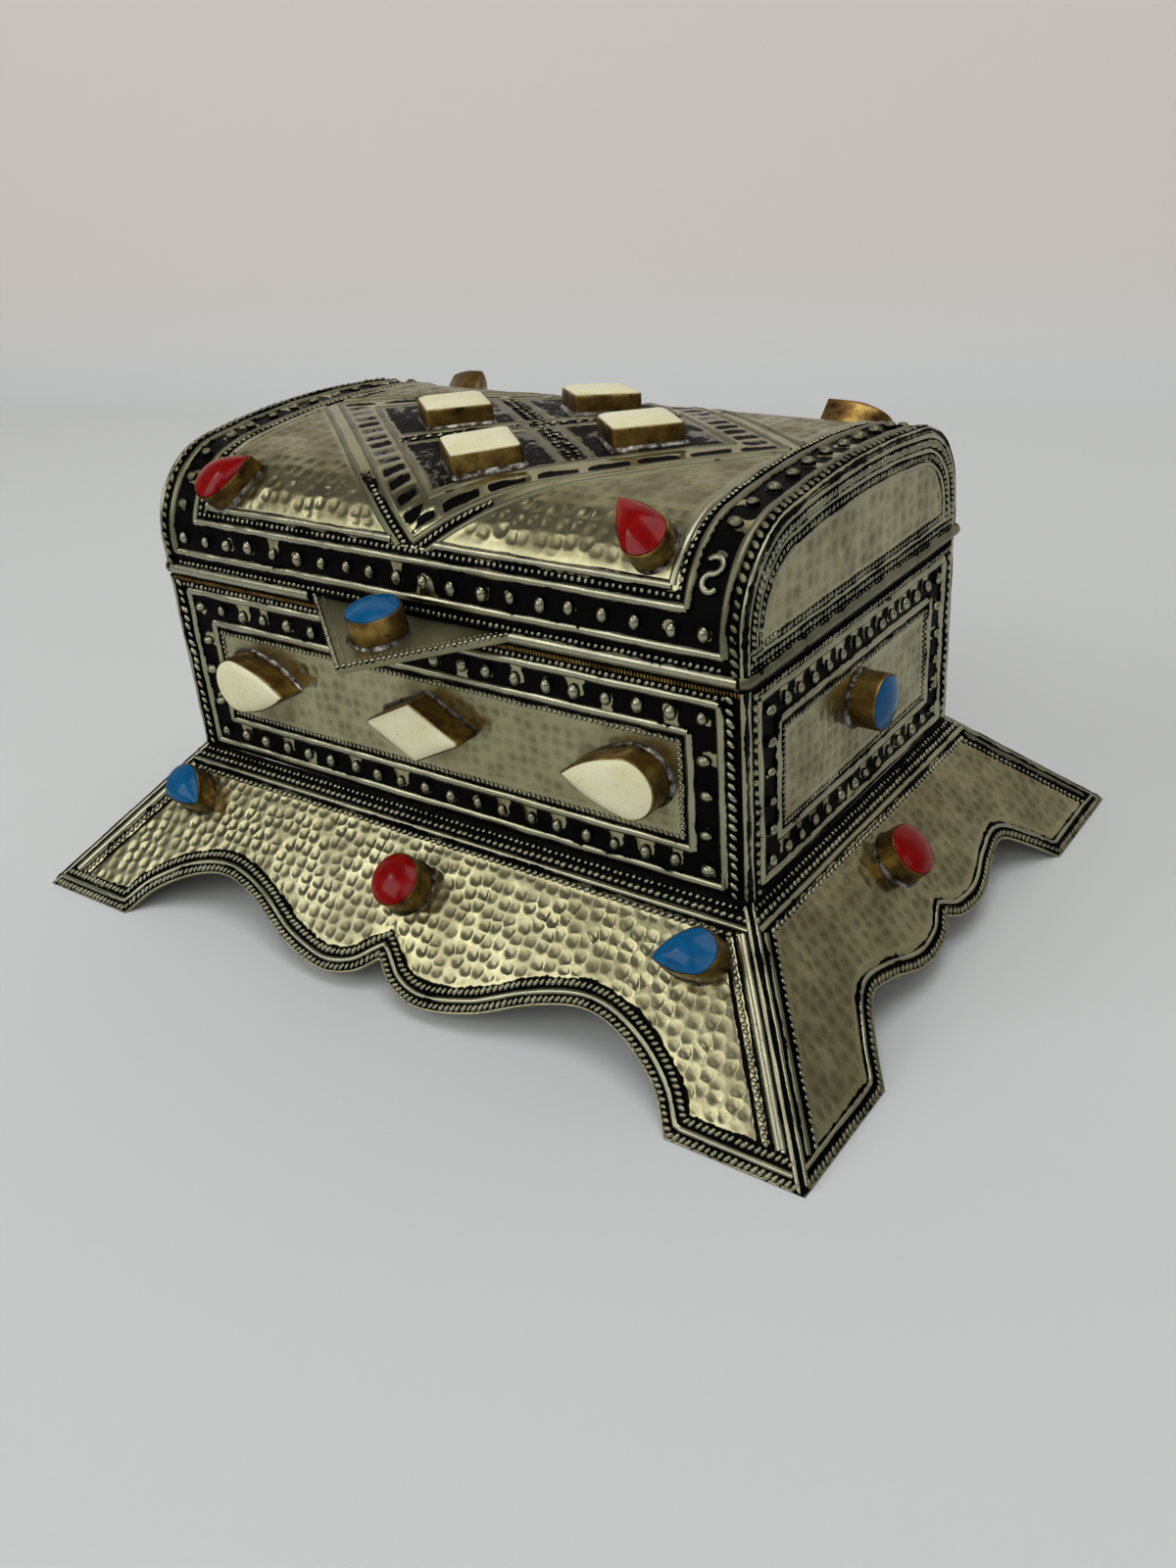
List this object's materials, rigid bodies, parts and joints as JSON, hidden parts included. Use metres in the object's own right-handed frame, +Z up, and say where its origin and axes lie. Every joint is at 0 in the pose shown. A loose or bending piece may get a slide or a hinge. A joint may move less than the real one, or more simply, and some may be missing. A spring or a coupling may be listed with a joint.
{
  "type": "jewellery box",
  "caption": "Vaulted jewellery casket clad in embossed nickel silver on a flared scalloped skirt, with stones in tall brass settings, a thumb tab and a hinged lid.",
  "frame": {"origin": "on the floor, under the centre of the box", "axes": "+X along the box, -Y to the front with the thumb tab, +Z up"},
  "size_m": [0.18, 0.1366, 0.0943],
  "materials": {
    "nickel_silver": "embossed and hammered nickel silver, dark patina in the recesses",
    "bezel_brass": "dark antique brass strip with grey solder at the foot",
    "bone": "polished bone",
    "red_stone": "polished cabochon",
    "blue_stone": "polished cabochon",
    "carcass_wood": "plain sawn softwood",
    "velvet_lining": "short velvet",
    "hinge_steel": "dull plated steel"
  },
  "bodies": {
    "box": {"back_board": "carcass_wood", "back_bone_bezels": "bezel_brass", "back_bone_drops": "bone", "back_bone_lozenge": "bone", "back_lining": "velvet_lining", "back_panel": "nickel_silver", "back_skirt": "nickel_silver", "back_skirt_bezels": "bezel_brass", "back_skirt_blue_drops": "blue_stone", "back_skirt_red_stone": "red_stone", "floor_board": "carcass_wood", "floor_lining": "velvet_lining", "front_board": "carcass_wood", "front_bone_bezels": "bezel_brass", "front_bone_drops": "bone", "front_bone_lozenge": "bone", "front_lining": "velvet_lining", "front_panel": "nickel_silver", "front_skirt": "nickel_silver", "front_skirt_bezels": "bezel_brass", "front_skirt_blue_drops": "blue_stone", "front_skirt_red_stone": "red_stone", "hinge_body_leaf": "hinge_steel", "hinge_body_nails": "hinge_steel", "hinge_pin": "hinge_steel", "left_blue_bezel": "bezel_brass", "left_blue_stone": "blue_stone", "left_board": "carcass_wood", "left_lining": "velvet_lining", "left_panel": "nickel_silver", "left_skirt": "nickel_silver", "left_skirt_red_bezel": "bezel_brass", "left_skirt_red_stone": "red_stone", "right_blue_bezel": "bezel_brass", "right_blue_stone": "blue_stone", "right_board": "carcass_wood", "right_lining": "velvet_lining", "right_panel": "nickel_silver", "right_skirt": "nickel_silver", "right_skirt_red_bezel": "bezel_brass", "right_skirt_red_stone": "red_stone", "skirt_tacks": "hinge_steel"},
    "lid": {"hinge_lid_leaf": "hinge_steel", "hinge_lid_nails": "hinge_steel", "lid_back_rail": "carcass_wood", "lid_bone_tablets": "bone", "lid_drop_bezels": "bezel_brass", "lid_front_rail": "carcass_wood", "lid_left_board": "carcass_wood", "lid_left_panel": "nickel_silver", "lid_lining": "velvet_lining", "lid_red_drops": "red_stone", "lid_right_board": "carcass_wood", "lid_right_panel": "nickel_silver", "lid_rim_wire": "nickel_silver", "lid_tablet_bezels": "bezel_brass", "lid_vault": "nickel_silver", "lift_tab": "nickel_silver", "tab_bezel": "bezel_brass", "tab_blue_stone": "blue_stone"}
  },
  "joints": [
    {"name": "lid_hinge", "type": "hinge", "parent": "box", "child": "lid", "pos_m": [0, 0.0418, 0.064], "axis": [-1, 0, 0], "range_deg": [0, 105]}
  ]
}
